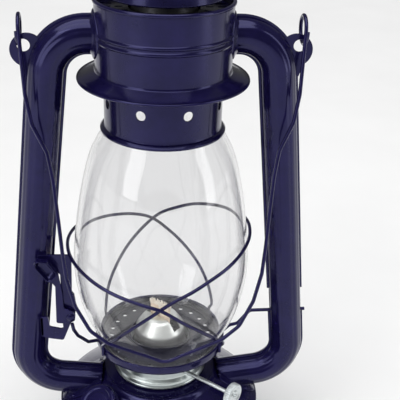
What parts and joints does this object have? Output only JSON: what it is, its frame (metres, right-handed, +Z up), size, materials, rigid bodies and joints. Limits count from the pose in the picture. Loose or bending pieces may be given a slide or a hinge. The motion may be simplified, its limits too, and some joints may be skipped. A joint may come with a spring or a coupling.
{
  "type": "oil lamp",
  "caption": "Tubular hurricane lantern with glass globe, wick burner, fuel tank, side air tubes, liftable globe and a carrying bail.",
  "frame": {"origin": "centre of the tank's standing rim, on the ground", "axes": "+Z up, +X towards the side tube with the guide wire slot, -X towards the lift lever, -Y the front where the wick knob is"},
  "size_m": [0.163, 0.1116, 0.3016],
  "materials": {
    "enamel": "gloss",
    "burner_plate": "bright",
    "bright_steel": "bright",
    "bare_steel": "satin",
    "cotton": "woven",
    "glass": "clear",
    "rubber": "matt"
  },
  "bodies": {
    "frame": {"tank_cup": "enamel", "tank_top": "enamel", "burner_socket": "burner_plate", "filler_neck": "burner_plate", "burner_cup": "burner_plate", "burner_floor": "burner_plate", "burner_deck": "burner_plate", "burner_dome": "burner_plate", "wick_tube": "burner_plate", "side_tube_left": "enamel", "side_tube_right": "enamel", "tube_saddles": "enamel", "tube_bosses": "enamel", "air_chamber": "enamel", "chamber_skirt": "enamel", "chamber_top_plate": "enamel", "lever_bracket": "enamel"},
    "cap": {"filler_cap": "enamel", "filler_gasket": "rubber"},
    "knob": {"wick_spindle": "bright_steel", "wick_spurs": "bright_steel", "wick_knob": "bright_steel"},
    "wick": {"wick": "cotton"},
    "lever": {"lift_lever": "enamel", "lever_rivet": "bright_steel", "lift_wire": "enamel"},
    "carrier": {"globe_plate": "enamel", "globe_glass": "glass", "guard_wire_a": "enamel", "guard_wire_b": "enamel", "guide_wire": "enamel"},
    "chimney": {"chimney_collar": "enamel", "chimney_flue": "bare_steel", "hood_struts": "enamel", "hood": "enamel", "hood_cap": "enamel"},
    "ring": {"lifting_ring": "enamel"},
    "bail": {"bail": "enamel"}
  },
  "joints": [
    {"name": "wick_knob_turn", "type": "hinge", "parent": "frame", "child": "knob", "pos_m": [-0.00399, -0.00434, 0.07], "axis": [0.7361, -0.6769, 0], "range_deg": [-143, 80]},
    {"name": "wick_raise", "type": "slide", "parent": "frame", "child": "wick", "axis": [0, 0, 1], "range_m": [-0.0103, 0.006]},
    {"name": "globe_lift", "type": "slide", "parent": "frame", "child": "carrier", "axis": [0, 0, 1], "range_m": [0, 0.01265]},
    {"name": "lever_press", "type": "hinge", "parent": "frame", "child": "lever", "pos_m": [-0.048, 0, 0.1021], "axis": [0, -1, 0], "range_deg": [0, 31.8]},
    {"name": "chimney_lift", "type": "slide", "parent": "carrier", "child": "chimney", "axis": [0, 0, 1], "range_m": [0, 0.01]},
    {"name": "ring_fold", "type": "hinge", "parent": "chimney", "child": "ring", "pos_m": [0, 0, 0.2986], "axis": [1, 0, 0], "range_deg": [0, 188]},
    {"name": "bail_swing", "type": "hinge", "parent": "frame", "child": "bail", "pos_m": [0, 0.003, 0.252], "axis": [-1, 0, 0], "range_deg": [0, 303]},
    {"name": "filler_cap_turn", "type": "hinge", "parent": "frame", "child": "cap", "pos_m": [-0.03141, -0.02635, 0.05271], "axis": [-0.4284, -0.3595, 0.829], "continuous": true}
  ],
  "couplings": [
    {"joint": "wick_raise", "follows": "wick_knob_turn", "m_per_rad": 0.0041},
    {"joint": "lever_press", "follows": "globe_lift", "rad_per_m": 43.78}
  ]
}
